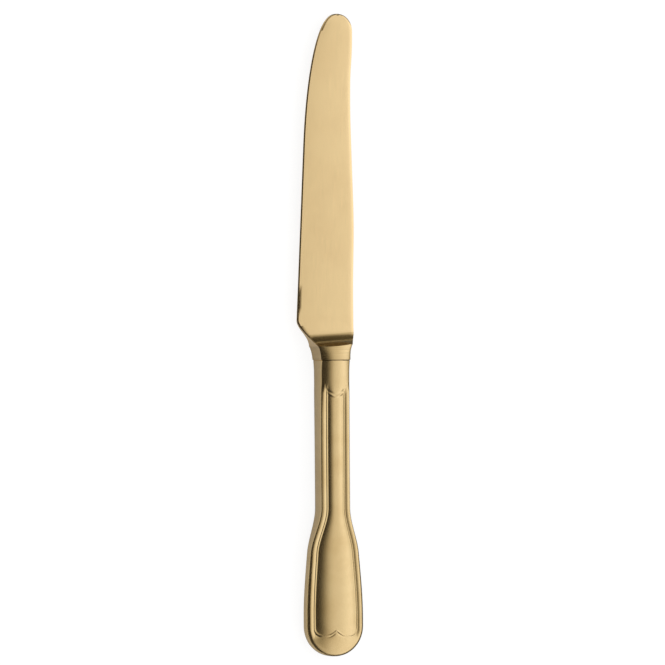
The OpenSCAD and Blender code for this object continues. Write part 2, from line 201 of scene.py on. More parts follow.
def facet(share):
    """Drop of the facet, from its share of the way inwards from the spine."""
    return FACET_DROP * (1 - np.clip(share, 0, 1)) ** FACET_POWER


def face_swell(share):
    return FACE_SWELL * 4 * share * (1 - share)


print("spine %.2f mm thick in the middle" % (2 * spine_half(BLADE_L / 2)))

# %% [markdown]
# The collar has the same crowned section as the neck of the handle: a flank, a small
# rounded lip and a crown that falls off to both sides.

# %% Section of the collar
MOUTH_FLANK, COLLAR_FLANK, NECK_LIP, NECK_BEVEL = 9.6, 10.2, 0.13, 0.85
NECK_CROWN, COLLAR_CROWN, CROWN_POWER = 1.34, 1.03, 2.1
COLLAR_L = COVE_AT - COVE_R


def collar_section(x, y, left, right):
    """Height of the collar over the seam, between the two ends of a row."""
    up = np.clip(y / COLLAR_L, 0, 1)
    middle, half = (left + right) / 2, (right - left) / 2
    shoulder = 1 - np.clip(np.minimum(x - left, right - x) / NECK_BEVEL, 0, 1)
    across = np.clip(np.abs(x - middle) / half, 0, 1)
    lip = NECK_LIP * np.sqrt(1 - shoulder**2)
    crown = mix(NECK_CROWN, COLLAR_CROWN, up) * (1 - across**CROWN_POWER)
    return mix(MOUTH_FLANK, COLLAR_FLANK, up) / 2 + lip + crown


def collar_z(x, y):
    return collar_section(x, y, edge_x(y), spine_x(y))


print("collar %.1f mm thick" % (2 * collar_z(0.0, 4.0)))

# %% [markdown]
# At the bolster a cove of 7.3 mm radius lifts the wedge up to the collar and breaks
# into it with a crisp line. A bevel can't give such a slanted, curved line, so it is
# worked out where the rise of the cove reaches the collar. A row of the grid then
# lies exactly on it.

# %% Cove and its break
BREAK_PASSES = 8


def cove_start(x):
    return COVE_AT + COVE_SLANT * x


def cove_rise(x, y):
    into = np.clip(cove_start(x) - y, 0, COVE_R)
    return COVE_R - np.sqrt(COVE_R**2 - into**2)


def blade_half(x, y):
    """Half thickness of the blade without its cove, as far as the break needs it."""
    left, right = edge_x(y), spine_x(y)
    face_w = right - left - HEEL_BEVEL - FACET_W
    share = np.clip((x - left - HEEL_BEVEL) / face_w, 0, 1)
    face = mix(grind_half(y), SPINE_T / 2, share) + face_swell(share)
    return mix(edge_half(y), face, np.clip((x - left) / HEEL_BEVEL, 0, 1))


def collar_break(x):
    """Where the cove reaches the height of the collar, found by going back and forth."""
    y = COLLAR_L + 0 * x
    for _ in range(BREAK_PASSES):
        inside = np.clip(x, edge_x(y), spine_x(y))
        rise = np.clip(collar_z(inside, y) - blade_half(inside, y), 0, COVE_R)
        y = cove_start(x) - np.sqrt(COVE_R**2 - (COVE_R - rise) ** 2)
    return y


print("cove breaks at %.2f mm" % collar_break(np.array([0.0]))[0])

# %% [markdown]
# The grid has a row for each step along the knife and a column for each line that
# runs lengthwise. Rows stand close where the form turns quickly: at the joint, in the
# cove and round the tip. In the collar and the cove a step is a share of the way, and
# in the blade it is a distance.

# %% Rows and columns of the blade
COVE_GATHER, TIP_TURN = 1.25, 60
collar_rows = np.array([0, 0.06, 0.12, 0.35, 0.6, 0.85, 0.97])
cove_shares = (1 - np.linspace(0, 1, 15)) ** COVE_GATHER


def sweep_steps(start, end, count):
    """Steps round the sweep of the edge, even in angle from start to end."""
    return BLADE_L - SWEEP_L + SWEEP_L * np.sin(np.radians(np.linspace(start, end, count)[1:]))


blade_steps = np.concatenate(
    [
        np.linspace(COVE_AT, HEEL_AT + HEEL_R, 12)[1:],
        np.linspace(HEEL_AT + HEEL_R, BLADE_L - SWEEP_L, 16)[1:],
        sweep_steps(0, TIP_TURN, 22),
        sweep_steps(TIP_TURN, 90, 26),
    ]
)
face_shares = np.linspace(0, 1, 17)[1:-1]
round_angles = np.radians([0, 15, 32, 52, 70, 90])
bevel_shares = np.linspace(0, 1, len(round_angles))
facet_shares = np.array([0, 0.06, 0.25, 0.5, 0.75, 1])
print("rows:", len(collar_rows) + len(cove_shares) + len(blade_steps))

# %% [markdown]
# A row of the cove is bent, so where it meets the outline has to be found in a few
# passes. Bevel and facet are measured square to the outline, which needs its slope.

# %% Where a row of the blade runs
SLANT_FADE, EDGE_PASSES = 8.0, 6
SLOPE_STEP, STEEP = 1e-3, 1e6


def row_line(kind, step):
    """Gives the distance y of one row as a function of x."""

    def row_y(x):
        start = cove_start(x)
        if kind == "blade":
            return step + (start - COVE_AT) * max(0, 1 - (step - COVE_AT) / SLANT_FADE)
        edge = np.maximum(0, collar_break(x))
        return edge * step if kind == "collar" else edge + (start - edge) * (1 - step)

    return row_y


def meeting(line, row_y):
    """Where a row meets one of the two lines of the outline."""
    x = float(line(float(row_y(0.0))))
    for _ in range(EDGE_PASSES):
        x = float(line(float(row_y(x))))
    return x, float(row_y(x))


def slope_of(line, y):
    if y >= BLADE_L - SLOPE_STEP:
        return STEEP if line is edge_x else -STEEP
    return float(line(y + SLOPE_STEP) - line(y - SLOPE_STEP)) / (2 * SLOPE_STEP)


def inward(line, y):
    """Direction that points into the blade, square to one of its two lines."""
    side = 1.0 if line is edge_x else -1.0
    slope = slope_of(line, y)
    return np.array([side, -side * slope]) / math.hypot(1, slope)


print("the heel meets the edge at %.2f mm" % meeting(edge_x, row_line("blade", HEEL_AT))[0])

# %% [markdown]
# Each row starts with the ground bevel and ends with the facet. Towards the tip both
# turn into a small round, so that the two sides meet in one point. Their width is
# kept round the tip, where a width measured across would shrink to nothing.

# %% Bevel and facet of one row
NARROW_SHARE, TIP_ROOM, LEAST_W = 0.35, 0.3, 1e-6


def row_profiles(y_left, y_mid, y_right, width, tip):
    """Distances and heights of the bevel, then those of the facet."""
    narrow = width * NARROW_SHARE
    room = max(LEAST_W, narrow + TIP_ROOM * tip)
    half, bevel = min(float(spine_half(y_mid)), room), min(float(bevel_w(y_left)), room)
    round_d, round_z = half * (1 - np.cos(round_angles)), half * np.sin(round_angles)
    ground_z = mix(float(edge_half(y_left)), float(grind_half(y_left)), bevel_shares)
    drop = facet(facet_shares) * ease((y_right - COLLAR_L) / COVE_R)
    facet_d = min(FACET_W, narrow + LEAST_W) * facet_shares
    to_round = [(bevel * bevel_shares, round_d), (ground_z, round_z)]
    to_round += [(facet_d, round_d), (half - drop, round_z)]
    return [mix(plain, round_off, tip) for plain, round_off in to_round]


print("profile of %d points from bevel to spine" % (2 * len(round_angles) + len(face_shares)))

# %% One row of the blade
TIP_L, TIP_FADE, TURN_L = 5.0, 4.9, 3.0
LEVEL_AT, LEVEL_L = 8.0, 4.0


def joined(start, end):
    """Values of bevel and facet, with those of the face between them."""
    return np.concatenate([start, mix(start[-1], end[0], face_shares), end])


def blade_row(kind, step):
    row_y = row_line(kind, step)
    y_mid = float(row_y(0.0))
    (left, y_left), (right, y_right) = meeting(edge_x, row_y), meeting(spine_x, row_y)
    tip = float(ease((y_mid - BLADE_L + TIP_L) / TIP_FADE))
    profiles = row_profiles(y_left, y_mid, y_right, right - left, tip)
    bevel_d, bevel_z, facet_d, facet_z = profiles
    turn = float(ease((y_mid - COVE_AT) / TURN_L))
    slanted = math.hypot(1, slope_of(edge_x, y_left))
    level = mix(1.0, slanted, float(ease((y_left - LEVEL_AT) / LEVEL_L)))
    to_right = mix(np.array([level, 0.0]), inward(edge_x, y_left), turn)
    to_left = mix(np.array([-1.0, 0.0]), inward(spine_x, y_right), turn)
    start = np.array([left, y_left]) + bevel_d[:, None] * to_right
    end = (np.array([right, y_right]) + facet_d[:, None] * to_left)[::-1]
    x = joined(start[:, 0], end[:, 0])
    y = row_y(x) + joined(start[:, 1] - row_y(start[:, 0]), end[:, 1] - row_y(end[:, 0]))
    if kind == "collar":
        return x, y, collar_section(x, y, left, right)
    z = joined(bevel_z, facet_z[::-1])
    z[len(bevel_z) : -len(facet_z)] += face_swell(face_shares) * (1 - tip)
    return x, y, z + cove_rise(x, y)


print("cove ends at %.2f mm" % blade_row("cove", 0.0)[1].mean())

# %% [markdown]
# Blender gives the grid as a primitive. Its points are numbered by where they lie,
# and each is moved to its place on the knife. A helper does this for any form, and
# another one runs operators on a mesh in edit mode with all of it selected.

# %% Helpers for grids and operators
MERGE_REACH = 0.004 * MM


def only(piece):
    """Selects one object and nothing else."""
    bpy.ops.object.select_all(action="DESELECT")
    piece.select_set(True)
    bpy.context.view_layer.objects.active = piece


def drawn_grid(name, points):
    """A grid primitive with its points moved to an array of rows and columns."""
    rows, columns = points.shape[:2]
    bpy.ops.object.select_all(action="DESELECT")
    bpy.ops.mesh.primitive_grid_add(x_subdivisions=columns - 1, y_subdivisions=rows - 1, size=2)
    piece = bpy.context.object
    piece.name = piece.data.name = name
    for vertex in piece.data.vertices:
        column = round((vertex.co.x + 1) / 2 * (columns - 1))
        row = round((vertex.co.y + 1) / 2 * (rows - 1))
        vertex.co = Vector(points[row, column])
    return piece


def in_edit(piece, *steps):
    """Runs operators on the whole mesh in edit mode, one after another."""
    only(piece)
    bpy.ops.object.mode_set(mode="EDIT")
    for step in steps:
        bpy.ops.mesh.select_all(action="SELECT")
        step()
    bpy.ops.object.mode_set(mode="OBJECT")


def merged():
    bpy.ops.mesh.remove_doubles(threshold=MERGE_REACH)
    bpy.ops.mesh.select_all(action="SELECT")
    bpy.ops.mesh.dissolve_degenerate(threshold=MERGE_REACH)


def outward():
    bpy.ops.mesh.normals_make_consistent(inside=False)


def report(piece):
    size = [round(s / MM, 1) for s in piece.dimensions]
    print(piece.name, len(piece.data.polygons), "faces,", size, "mm")


# %% [markdown]
# The upper half of the blade is drawn as a grid. The flank is part of it: its columns
# run from the seam up to the edge of each row. The fine line that shows at the joint
# is a small chamfer on the first rows of the collar, and the handle has the same one.

# %% Blade
JOINT_LINE, JOINT_ROWS = 0.16, 2
flank_shares = np.array([0, 0.33, 0.67])


def blade_points():
    rows = [("collar", share) for share in collar_rows]
    rows += [("cove", share) for share in cove_shares]
    rows += [("blade", step) for step in blade_steps]
    rim = len(round_angles)
    points = []
    for number, (kind, step) in enumerate(rows):
        x, y, z = blade_row(kind, step)
        line = JOINT_LINE * max(0, 1 - number / JOINT_ROWS)
        x[:rim] += line
        x[-rim:] -= line
        z = z - line
        if number <= JOINT_ROWS:
            y = 0 * y + JOINT_LINE * number / JOINT_ROWS
        x, y = [np.pad(values, len(flank_shares), "edge") for values in (x, y)]
        z = np.concatenate([z[0] * flank_shares, z, z[-1] * flank_shares[::-1]])
        points.append(place(x, y, z))
    return np.array(points)


blade_piece = drawn_grid("knife_blade", blade_points())
report(blade_piece)

# %% [markdown]
# The knife has the same face below as above, so a mirror modifier adds the lower
# half. Its plane is an empty at the seam. The end at the joint is still open then,
# and is filled with one face.

# %% Mirror and close the blade
MIRROR_REACH = 0.003 * MM


def mirrored_at_seam(piece):
    """Adds the lower half to a half that stands on the seam."""
    only(piece)
    bpy.ops.object.empty_add(location=(0, 0, seam_z))
    seam = bpy.context.object
    only(piece)
    mirror = piece.modifiers.new("lower half", "MIRROR")
    mirror.use_axis = (False, False, True)
    mirror.mirror_object = seam
    mirror.merge_threshold = MIRROR_REACH
    bpy.ops.object.modifier_apply(modifier=mirror.name)
    bpy.data.objects.remove(seam)


def fill_open_end():
    bpy.ops.mesh.select_all(action="DESELECT")
    bpy.ops.mesh.select_non_manifold(
        extend=False, use_wire=False, use_multi_face=False, use_non_contiguous=False, use_verts=False
    )
    bpy.ops.mesh.edge_face_add()


mirrored_at_seam(blade_piece)
in_edit(blade_piece, merged, fill_open_end, outward)
report(blade_piece)

# %% [markdown]
# ## The handle
# Each half shell is stamped, with a border of threads round a crowned panel. Threads
# could be swept along curves and joined, but on a stamping they melt into the sheet,
# so the shell is one grid too. Its outline swells from a slim stem to the round end,
# in a steep shoulder and a long soft belly.

# %% Outline of the handle
HANDLE_L, WAIST_W, STEM_W, BULB_W = 110.5, 11.45, 11.65, 22.49
WAIST_AT, STEM_AT, SHOULDER_AT, SHOULDER_L = 6.9, 15.75, 55.0, 17.0
BULB_AT, BELLY_L, BUTT_POWER, SIDE_SHARE = 99.0, 40.48, 2.1, 0.53
MOUTH_W, BULB_X, BUTT_L = 2 * MOUTH_X, BULB_W / 2, HANDLE_L - BULB_AT


def to_bulb(v):
    return ease((v - SHOULDER_AT) / BELLY_L)


def swell_out(v, share):
    """From stem to round end, with this share of the way in the shoulder."""
    return share * ease((v - SHOULDER_AT) / SHOULDER_L) + (1 - share) * to_bulb(v)


def side_x(v):
    neck = MOUTH_W - (MOUTH_W - WAIST_W) * ease(v / WAIST_AT)
    stem = (STEM_W - WAIST_W) * ease((v - WAIST_AT) / WAIST_AT)
    return (neck + stem + (BULB_W - STEM_W) * swell_out(v, SIDE_SHARE)) / 2


def half_w(v, inset):
    end = quarter((v - BULB_AT) / (BUTT_L - inset), BUTT_POWER, BUTT_POWER)
    return np.where(v <= BULB_AT, side_x(v) - inset, (BULB_X - inset) * end)


def butt_v(x, inset):
    end = quarter(np.abs(x) / (BULB_X - inset), BUTT_POWER, BUTT_POWER)
    return BULB_AT + (BUTT_L - inset) * end


print("stem %.1f mm, round end %.1f mm wide" % (2 * side_x(40.0), 2 * side_x(BULB_AT)))

# %% [markdown]
# The flank is as high as the collar at the mouth, falls quickly behind it, and is
# lowest at the round end. A lip rounds it into the border.

# %% Heights of flank and lip
STEM_FLANK, BULB_FLANK, FLANK_SHARE, BUTT_THIN = 7.1, 3.4, 0.8, 0.85
LONG_FALL, SHORT_FALL = 39.375, 4.6
STEM_LIP, BULB_LIP, FLANK_BULGE = 0.26, 0.918, 0.17


def flank_h(v):
    neck_fall = (soften(v / LONG_FALL) + soften(v / SHORT_FALL)) / 2
    stem = mix(MOUTH_FLANK, STEM_FLANK, neck_fall)
    bulb = (STEM_FLANK - BULB_FLANK) * swell_out(v, FLANK_SHARE)
    return (stem - bulb - BUTT_THIN * ease((v - BULB_AT) / BUTT_L)) / 2


def lip_h(v):
    return mix(mix(NECK_LIP, STEM_LIP, ease(v / STEM_AT)), BULB_LIP, to_bulb(v))


print("flank %.1f mm high in the stem" % (2 * flank_h(40.0)))

# %% [markdown]
# The grid is drawn from loops that run round the border, as the mitred frame of a
# picture: the seam is loop 0, the top of the flank 1, a broad thread lies between
# loops 2 and 3, a groove at 4, a narrow thread at 5, and the panel begins at 6 to 7.
# A loop number need not be whole: between two loops the inset and the relief follow
# a drawn profile, so that the threads come out round and the grooves hollow.

# %% Loops of the border
FLANK_TOP, BEVEL_LOOP, THREAD_LOOP, LOOPS = 1, 2, 3, 7
STEM_BEVEL, BULB_BEVEL, BEVEL_ROUND = 0.6, 1.02, 0.3
OUTER_THREAD, INNER_THREAD, GROOVE_W = 1.15, 0.55, 0.5
SIDE_THREAD, SIDE_GROOVE = 0.495, 0.4
BORDER_STEP = (OUTER_THREAD + INNER_THREAD + GROOVE_W) / 4
# Grooves and narrow threads between the broad thread and loops 4 to 7.
INNER_LOOPS = ((1, 0), (1, 0.5), (2, 1), (2, 1.5))


def loop_inset(k, v):
    """Distance of loop k from the outline of the handle at v."""
    bevel = mix(STEM_BEVEL, BULB_BEVEL, to_bulb(v))
    marks = [0, 0, bevel, bevel + OUTER_THREAD]
    for grooves, threads in INNER_LOOPS:
        marks.append(bevel + OUTER_THREAD + grooves * SIDE_GROOVE + threads * SIDE_THREAD)
    table = np.stack([mark + 0 * v for mark in marks])
    low = np.clip(np.floor(k), 0, LOOPS - 1).astype(int)
    v_low = np.take_along_axis(table, low[None], axis=0)[0]
    v_high = np.take_along_axis(table, low[None] + 1, axis=0)[0]
    part = np.clip(k - low, 0, 1)
    rounded = mix(part, 1 - np.cos(part * math.pi / 2), BEVEL_ROUND)
    return v_low + (v_high - v_low) * np.where(low == FLANK_TOP, rounded, part)


print("border %.2f mm wide in the stem" % loop_inset(np.array([7.0]), np.array([40.0]))[0])

# %% [markdown]
# The relief is how far each loop lies above or below the narrow thread. The panel lies
# a little below its border, which is how it catches dark on one side and light on the
# other.

# %% Relief of the border
THREAD_SINK, CREST, PANEL_SINK = 0.04, 0.08, 0.14
GROOVE_D, FOOT_GROOVE, TOP_GROOVE = 0.12, 0.2, 0.1


def relief(k, groove=GROOVE_D):
    """Height of the border's profile at loop k, over its narrow thread."""
    marks = np.array([0, 0, -THREAD_SINK, -THREAD_SINK, -groove, 0] + [-PANEL_SINK] * 3)
    low = np.clip(np.floor(k), 0, LOOPS).astype(int)
    drawn = mix(marks[low], marks[low + 1], ease(k - low))
    from_crest = 2 * k - BEVEL_LOOP - THREAD_LOOP
    return drawn + CREST * np.clip(1 - from_crest**2, 0, 1)


print("crest %.2f mm over the panel" % (relief(2.5) - relief(7.0)))

# %% [markdown]
# Round the butt the outer loops follow the outline, and the inner ones make a bracket
# with rounded corners and a point in the middle, as in the photo.

# %% Foot of the border
FOOT_AT, CORNER_R, CUSP_H, CUSP_W, CUSP_POWER = 102.2, 2.5, 1.9, 3.4, 1.6
FOOT_OFFS = (3.4, 2, 1, 0, -1.6)


def foot_off(k):
    marks = [FOOT_AT + off * GROOVE_W for off in FOOT_OFFS]
    return np.interp(k, range(THREAD_LOOP, LOOPS + 1), marks)


def foot_round(k):
    return CORNER_R + (foot_off(k) - FOOT_AT) / 2


def foot_x(k):
    return BULB_X - loop_inset(k, BULB_AT + 0 * k)


def foot_v(k, x):
    round_r = foot_round(k)
    past = np.clip(np.abs(x) - (foot_x(k) - round_r), 0, round_r)
    cusp = CUSP_H * np.maximum(0, 1 - np.abs(x) / CUSP_W) ** CUSP_POWER
    return foot_off(k) - cusp - (round_r - np.sqrt(round_r**2 - past**2))


def ring_v(k, x):
    """Lower line of loop k at x: the butt outside, the bracket foot inside."""
    outer = butt_v(x, loop_inset(np.minimum(k, BEVEL_LOOP), BULB_AT + 0 * k))
    return np.where(k <= BEVEL_LOOP, outer, foot_v(np.maximum(k, THREAD_LOOP), x))


print("the foot's point is at %.1f mm" % foot_v(np.array([4.0]), 0.0)[0])

# %% [markdown]
# The same loops run down the sides, across the foot and, bent from horn to horn, over
# the top of the panel. A point of the grid therefore belongs to the loop that is
# nearest to the border: from the side, from the foot or from the top. Where two of
# them are equal the threads meet in a mitre.

# %% Sides of the loops
HORN_AT, HORN_DIP, HORN_R = 7.5, 3.2, 1.0


def horn_v(x, v):
    """Bends a line across the top, so that its ends stay and its middle dips."""
    span = math.hypot(STEM_W / 2, HORN_R) - HORN_R
    return v + HORN_DIP * np.maximum(0, 1 - (np.hypot(x, HORN_R) - HORN_R) / span)


def column_x(k, v):
    """Half distance across of loop k at v."""
    k, v = np.broadcast_arrays(np.asarray(k, float), np.asarray(v, float))
    outer = half_w(v, loop_inset(np.minimum(k, BEVEL_LOOP), v))
    high = np.maximum(k, THREAD_LOOP)
    round_r = foot_round(high)
    past = np.clip(v - (foot_off(high) - round_r), 0, round_r)
    corner = round_r - np.sqrt(round_r**2 - past**2)
    inner = side_x(np.minimum(v, BULB_AT)) - loop_inset(high, v) - corner
    between = mix(outer, inner, k - BEVEL_LOOP)
    return np.where(k <= BEVEL_LOOP, outer, np.where(k >= THREAD_LOOP, inner, between))


def panel_edge(v):
    return side_x(np.minimum(v, BULB_AT)) - loop_inset(float(LOOPS) + 0 * v, v)


print("panel %.2f mm wide in the stem" % (2 * panel_edge(np.array([40.0]))[0]))

# %% [markdown]
# At the foot each loop turns a corner. Side rows come down to it, foot rows leave
# from it, and the flat between bevel and broad thread is drawn straight from one
# loop to the other, because the two turn at different places.

# %% Corners of the loops
CORNER_SHARE = 0.87
FOOT_FROM = FOOT_AT - 4 * GROOVE_W - CUSP_H


def corner_x(k):
    outer = CORNER_SHARE * (BULB_X - loop_inset(np.minimum(k, BEVEL_LOOP), BULB_AT + 0 * k))
    high = np.maximum(k, THREAD_LOOP)
    inner = foot_x(high) - (1 - math.cos(math.pi / 4)) * foot_round(high)
    return np.where(k <= BEVEL_LOOP, outer, inner)


def between_loops(at, k):
    """Points of loop k, with those of loops 2 to 3 straight from one to the other."""
    inside = (k > BEVEL_LOOP) & (k < THREAD_LOOP)
    outer, inner = [at(np.where(inside, float(loop), k)) for loop in (BEVEL_LOOP, THREAD_LOOP)]
    return mix(outer, inner, np.where(inside, k - BEVEL_LOOP, 0))


def on_side(k, share):
    def at(k):
        v = mix(FOOT_FROM, ring_v(k, corner_x(k)), share)
        return np.array([column_x(k, v), v])

    return between_loops(at, k)


def on_foot(k, share):
    def at(k):
        x = corner_x(k) * share
        return np.array([x, ring_v(k, x)])

    return between_loops(at, k)


print("foot rows begin at %.1f mm" % FOOT_FROM)

# %% [markdown]
# The panel is crowned across, and its crown dies out towards the butt. At the mouth
# the shell has the collar's crown, and the two are mixed over the length of the horns.

# %% Crown of the shell
STEM_CROWN, BULB_CROWN, PANEL_POWER = 0.6, 1.35, 2.4
CROWN_LOOP, FOOT_FADE, THINNEST = 5.5, 3.0, 0.01
SIDE_FROM = HORN_AT + HORN_DIP + LOOPS * BORDER_STEP


def body_z(x, v):
    rim = side_x(np.minimum(v, BULB_AT)) - loop_inset(CROWN_LOOP + 0 * v, v)
    edge = mix(rim, half_w(v, BULB_BEVEL), ease((v - FOOT_AT) / FOOT_FADE))
    across = np.clip(np.abs(x) / np.maximum(edge, THINNEST), 0, 1)
    left = np.clip((butt_v(x, BULB_BEVEL) - v) / (BULB_X - BULB_BEVEL), 0, 1)
    crown = mix(STEM_CROWN, BULB_CROWN, swell_out(v, SIDE_SHARE))
    return crown * (1 - across**PANEL_POWER) * (1 - (1 - left) ** 2)


def crown_of(x, v):
    across = np.clip(np.abs(x) / side_x(v), 0, 1)
    neck = NECK_CROWN * (1 - across**CROWN_POWER)
    return mix(neck, body_z(x, v), ease((v - HORN_AT) / (SIDE_FROM - HORN_AT)))


print("crown %.2f mm in the stem" % crown_of(np.array([0.0]), np.array([40.0]))[0])

# %% [markdown]
# Over the top of the panel the border is seen from two sides: loop k from the flank
# and loop b from the horns. The threads rise out of the neck there, so the relief
# fades in over the first loops and its top line is drawn fainter than the sides.

# %% Relief near top and foot
BEGIN_LOOP, BEGIN_REACH, HORN_REACH = 2.2, 1.8, 2.0
HORN_LOOPS, MITRE_SLOPE, TOP_REACH, FOOT_REACH = 4, 0.8, 1.5, 4.0
LIP_ROUND = 0.45


def drawn_relief(k, b, under):
    """Relief at loop k and at b loops below the top of the border.

    Under says how far the point lies inside the corner of the foot, in loops.
    """
    near = np.minimum(k, HORN_LOOPS + MITRE_SLOPE * np.clip(b - HORN_LOOPS, 0, LOOPS - HORN_LOOPS))
    top_line = mix(relief(near), relief(near, TOP_GROOVE), ease((k - near) / TOP_REACH))
    begun = top_line * ease((b - BEGIN_LOOP) / BEGIN_REACH)
    horn = np.where(k <= THREAD_LOOP, relief(k) * ease(b / HORN_REACH), begun)
    lower = mix(relief(k), relief(k, FOOT_GROOVE), ease(under / FOOT_REACH))
    border = np.where(b < HORN_LOOPS, horn, np.where(b < LOOPS, top_line, lower))
    return np.where(b < 0, 0, border)


def shell_z(x, v, k, b, under):
    """Height of the half shell over the seam."""
    step = np.clip(k - FLANK_TOP, 0, 1)
    lip = lip_h(v) * mix(step, np.sin(step * math.pi / 2), LIP_ROUND)
    crown = crown_of(x, v) * (k > FLANK_TOP)
    top = flank_h(v) + lip + crown + drawn_relief(k, b, under) * (k >= BEVEL_LOOP)
    return np.where(k <= FLANK_TOP, flank_h(v) * k, top)


print("flank %.1f mm high at the mouth" % (2 * flank_h(0.0)))

# %% [markdown]
# Columns are the loops from the seam inwards, and then shares of the panel's half
# width down to the middle. Rows are the neck, the loops of the top, the sides, and
# the loops of the foot, counted back to the seam.

# %% Rows and columns of a half shell
PANEL, NECK = 99.0, -1.0
loop_marks = np.concatenate(
    [
        np.array([0, 0.25, 0.5, 0.75]),
        np.linspace(FLANK_TOP, BEVEL_LOOP, 5)[:-1],
        np.linspace(BEVEL_LOOP, THREAD_LOOP, 7)[:-1],
        np.linspace(THREAD_LOOP, LOOPS, 17),
    ]
)
panel_shares = np.linspace(0.93, 0, 12)
neck_shares = np.array([0, 0.011, 0.022, 0.05, 0.1, 0.18, 0.28, 0.4, 0.52, 0.64, 0.76, 0.86, 0.94])
side_stations = np.concatenate(
    [
        np.linspace(SIDE_FROM, SHOULDER_AT, 16)[1:-1],
        np.linspace(SHOULDER_AT, SHOULDER_AT + SHOULDER_L, 22)[:-1],
        np.linspace(SHOULDER_AT + SHOULDER_L, FOOT_FROM, 24),
    ]
)
n_loops = len(loop_marks)
k_all = np.concatenate([loop_marks, np.full(len(panel_shares), PANEL)])
print("columns:", 2 * len(k_all) - 1)

# %% Rows of neck and sides
def across_row(v):
    """Half distances of all columns at v: the loops, and the shares of the panel."""
    v = v + 0 * k_all
    loops = column_x(loop_marks, v[:n_loops])
    return np.concatenate([loops, panel_shares * panel_edge(v[n_loops:])])


def side_rows():
    """Rows as x, v, the loop from the side, the loop from the top and the corner's depth."""
    top_x = across_row(HORN_AT)
    lines = [(share * horn_v(top_x, HORN_AT), NECK) for share in neck_shares]
    lines += [(horn_v(top_x, HORN_AT + b * BORDER_STEP), b) for b in loop_marks]
    lines += [(v + 0 * k_all, PANEL) for v in side_stations]
    return [(across_row(v), v, k_all, b, 0.0) for v, b in lines]


print("rows down to the foot:", len(side_rows()))

# %% Rows round the foot
FOOT_END = LOOPS + 1
over_foot = np.linspace(7.8, LOOPS, 4)[:-1]


def foot_row(up):
    """One row round the foot, whose corner lies on loop up."""
    x_side, v_side = on_side(loop_marks, (FOOT_END - up) / (FOOT_END - loop_marks))
    level = np.full(len(k_all), min(up, float(LOOPS)))
    turn = np.clip((loop_marks - level[:n_loops]) / (FOOT_END - level[:n_loops]), 0, 1)
    shares = np.concatenate([mix(1, panel_shares[0], turn), panel_shares])
    x, v = on_foot(level, shares)
    if up > LOOPS:
        x = mix(x, across_row(FOOT_FROM), up - LOOPS)
        v = mix(v, FOOT_FROM, up - LOOPS)
    beside = np.flatnonzero(loop_marks <= up)
    x[beside], v[beside] = x_side[beside], v_side[beside]
    return x, v, np.minimum(k_all, up), PANEL, np.maximum(0, k_all - up)


foot_rows = [foot_row(up) for up in np.concatenate([over_foot, loop_marks[::-1]])]
print("rows round the foot:", len(foot_rows))

# %% [markdown]
# A row gets its heights, the soft bulge of the flank and the chamfer at the joint.
# Only its left half is drawn, and the right half is its mirror image.

# %% Front half of the handle
def placed_row(number, x, v, k, b, under):
    z = shell_z(x, v, k, b, under)
    bulge = FLANK_BULGE * 2 * flank_h(v) / STEM_FLANK
    below_top = np.where(k < FLANK_TOP, k**3, np.clip(BEVEL_LOOP - k, 0, 1))
    x = x - bulge * below_top * (x > 0)
    line = JOINT_LINE * max(0, 1 - number / JOINT_ROWS)
    x, z = x - line * (k <= BEVEL_LOOP), z - line * (z > line)
    v, z = [np.concatenate([half, half[-2::-1]]) for half in (v, z)]
    return place(np.concatenate([-x, x[-2::-1]]), -v, z)


rows = side_rows() + foot_rows
shell_points = np.array([placed_row(number, *row) for number, row in enumerate(rows)])
front_shell = drawn_grid("handle_shell_front", shell_points[::-1])
in_edit(front_shell, merged, outward)
report(front_shell)

# %% [markdown]
# Solidify gives the sheet the 0.8 mm wall of the stamping, inwards. The back half was
# struck in the same die, so it is a copy turned over at the seam. Turning over makes
# its faces look inwards, and they are flipped back.

# %% Wall of the shell and the back half
WALL = 0.8


def thickened(piece, wall):
    only(piece)
    solid = piece.modifiers.new("wall", "SOLIDIFY")
    solid.thickness, solid.offset, solid.use_even_offset = wall * MM, -1, False
    bpy.ops.object.modifier_apply(modifier=solid.name)


def turned_over(piece, name):
    """A copy with its own mesh, mirrored at the seam."""
    only(piece)
    bpy.ops.object.duplicate()
    copy = bpy.context.object
    copy.name = copy.data.name = name
    for vertex in copy.data.vertices:
        vertex.co.z = 2 * seam_z - vertex.co.z
    in_edit(copy, bpy.ops.mesh.flip_normals)
    return copy


thickened(front_shell, WALL)
back_shell = turned_over(front_shell, "handle_shell_back")
report(front_shell)
report(back_shell)

# %% [markdown]
# Faces that meet in a crisp line, such as the collar's lip, keep their edge, and the
# rest is shaded smooth.

# %% Smooth shading
BLADE_CREASE, SHELL_CREASE = 32, 40
creases = ((blade_piece, BLADE_CREASE), (front_shell, SHELL_CREASE), (back_shell, SHELL_CREASE))
for piece, crease in creases:
    only(piece)
    bpy.ops.object.shade_smooth_by_angle(angle=math.radians(crease))
    print(piece.name, "keeps edges over", crease, "degrees")

# %% [markdown]
# ## The gilt finish
# The whole knife is one gilt steel. What changes is how it was finished: the blade is
# brushed along its length, the collar across, and the handle is rubbed satin by hand,
# which leaves soft clouds. A node group holds the grain, and each material places it
# with its own values. First come a few helpers, so that a node takes one line.

# %% Node helpers
def feed(tree, node, inputs):
    """Gives inputs of a node a wire from a socket, or a plain value."""
    for label, value in inputs.items():
        if isinstance(value, bpy.types.NodeSocket):
            tree.links.new(value, node.inputs[label])
        else:
            node.inputs[label].default_value = value


def add(tree, kind, inputs=None, **settings):
    """A new node with its settings, and then with its inputs fed."""
    node = tree.nodes.new(kind)
    for key, value in settings.items():
        setattr(node, key, value)
    feed(tree, node, inputs or {})
    return node


